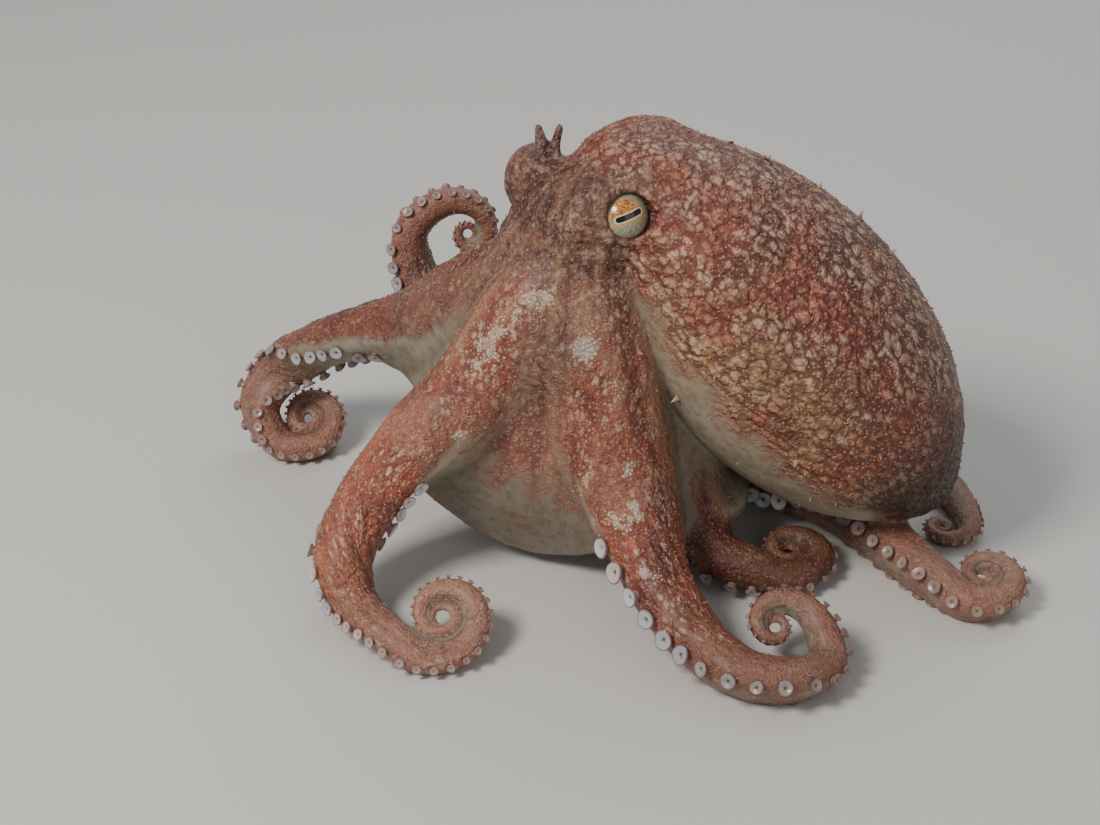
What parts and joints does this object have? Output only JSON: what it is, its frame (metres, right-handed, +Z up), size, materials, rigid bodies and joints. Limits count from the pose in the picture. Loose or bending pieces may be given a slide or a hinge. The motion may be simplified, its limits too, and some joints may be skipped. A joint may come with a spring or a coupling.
{
  "type": "common octopus",
  "caption": "Life-size common octopus settled on the floor, mantle slumped back beside the head, arms spread and curled, webs between them.",
  "frame": {"origin": "on the floor, under the middle of the footprint", "axes": "+Z up; the head leans over the -X side and the closed end of the mantle points to +X and down; the front of the animal faces between -X and -Y"},
  "size_m": [0.265, 0.2096, 0.1418],
  "materials": {
    "arm_skin": "wet skin, satin",
    "mantle_skin": "wet skin with a net of small warts, satin",
    "web_skin": "thin wet skin, satin",
    "pale_skin": "smooth pale wet skin, satin",
    "eye": "wet, glossy"
  },
  "bodies": {
    "root": {"head": "arm_skin", "eye_left": "eye", "eye_right": "eye", "mantle": "mantle_skin", "funnel": "pale_skin", "arm_L1_base": "arm_skin", "arm_L1_middle": "arm_skin", "arm_L1_outer": "arm_skin", "arm_L1_tip": "arm_skin", "arm_L2_base": "arm_skin", "arm_L2_middle": "arm_skin", "arm_L2_outer": "arm_skin", "arm_L2_tip": "arm_skin", "arm_L3_base": "arm_skin", "arm_L3_middle": "arm_skin", "arm_L3_outer": "arm_skin", "arm_L3_tip": "arm_skin", "arm_L4_base": "arm_skin", "arm_L4_middle": "arm_skin", "arm_L4_outer": "arm_skin", "arm_L4_tip": "arm_skin", "arm_R1_base": "arm_skin", "arm_R1_middle": "arm_skin", "arm_R1_outer": "arm_skin", "arm_R1_tip": "arm_skin", "arm_R2_base": "arm_skin", "arm_R2_middle": "arm_skin", "arm_R2_outer": "arm_skin", "arm_R2_tip": "arm_skin", "arm_R3_base": "arm_skin", "arm_R3_middle": "arm_skin", "arm_R3_outer": "arm_skin", "arm_R3_tip": "arm_skin", "arm_R4_base": "arm_skin", "arm_R4_middle": "arm_skin", "arm_R4_outer": "arm_skin", "arm_R4_tip": "arm_skin", "web_L1_L2": "web_skin", "web_L2_L3": "web_skin", "web_L3_L4": "web_skin", "web_L4_R4": "web_skin", "web_R4_R3": "web_skin", "web_R3_R2": "web_skin", "web_R2_R1": "web_skin", "web_R1_L1": "web_skin"}
  },
  "joints": []
}
